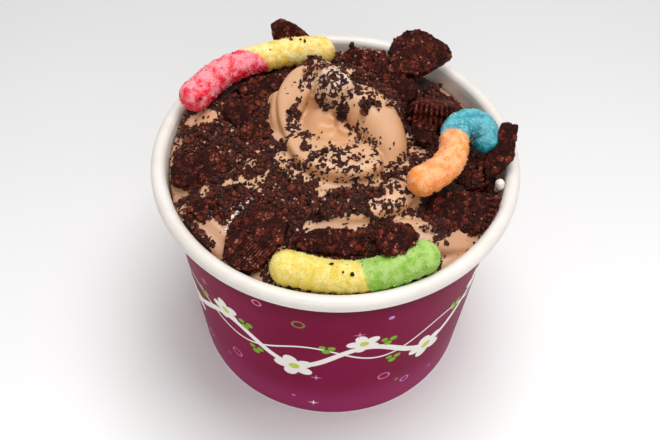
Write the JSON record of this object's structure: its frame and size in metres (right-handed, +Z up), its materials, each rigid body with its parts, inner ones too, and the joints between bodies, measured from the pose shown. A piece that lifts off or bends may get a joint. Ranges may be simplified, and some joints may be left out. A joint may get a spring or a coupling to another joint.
{
  "type": "dirt cup",
  "caption": "Chocolate frozen yogurt swirl in a paper tub, topped with broken sandwich cookies, cookie crumbs and sour gummy worms.",
  "frame": {"origin": "centre of the tub's foot, on the surface it stands on", "axes": "+Z up through the swirl; -Y is the front, where the yellow and green worm lies; +X to the right seen from the front"},
  "size_m": [0.112, 0.112, 0.1038],
  "materials": {
    "cup": "printed paper board, semi-gloss outside, white rim and inside",
    "yogurt": "moist soft-serve frozen yogurt, satin",
    "cookie": "dry crumbly baked cocoa biscuit, matte",
    "gummy_red_yellow": "sugared gummy, red fading to yellow",
    "gummy_orange_blue": "sugared gummy, orange fading to blue",
    "gummy_yellow_green": "sugared gummy, yellow fading to green",
    "filling": "sweet white cookie filling, matte"
  },
  "bodies": {
    "root": {"cookie_back_low": "cookie", "cookie_back_rubble": "cookie", "cookie_back_shard": "cookie", "cookie_back_slab": "cookie", "cookie_dark_flake": "cookie", "cookie_front_clump": "cookie", "cookie_front_left": "cookie", "cookie_front_right": "cookie", "cookie_front_rubble": "cookie", "cookie_inner": "cookie", "cookie_left_back": "cookie", "cookie_left_front": "cookie", "cookie_left_lower": "cookie", "cookie_left_middle": "cookie", "cookie_left_slab": "cookie", "cookie_left_upper": "cookie", "cookie_ridged": "cookie", "cookie_right_low": "cookie", "cookie_right_shard": "cookie", "cream_bit": "filling", "cup": "cup", "worm_orange_blue": "gummy_orange_blue", "worm_red_yellow": "gummy_red_yellow", "worm_yellow_green": "gummy_yellow_green", "yogurt": "yogurt"}
  },
  "joints": []
}
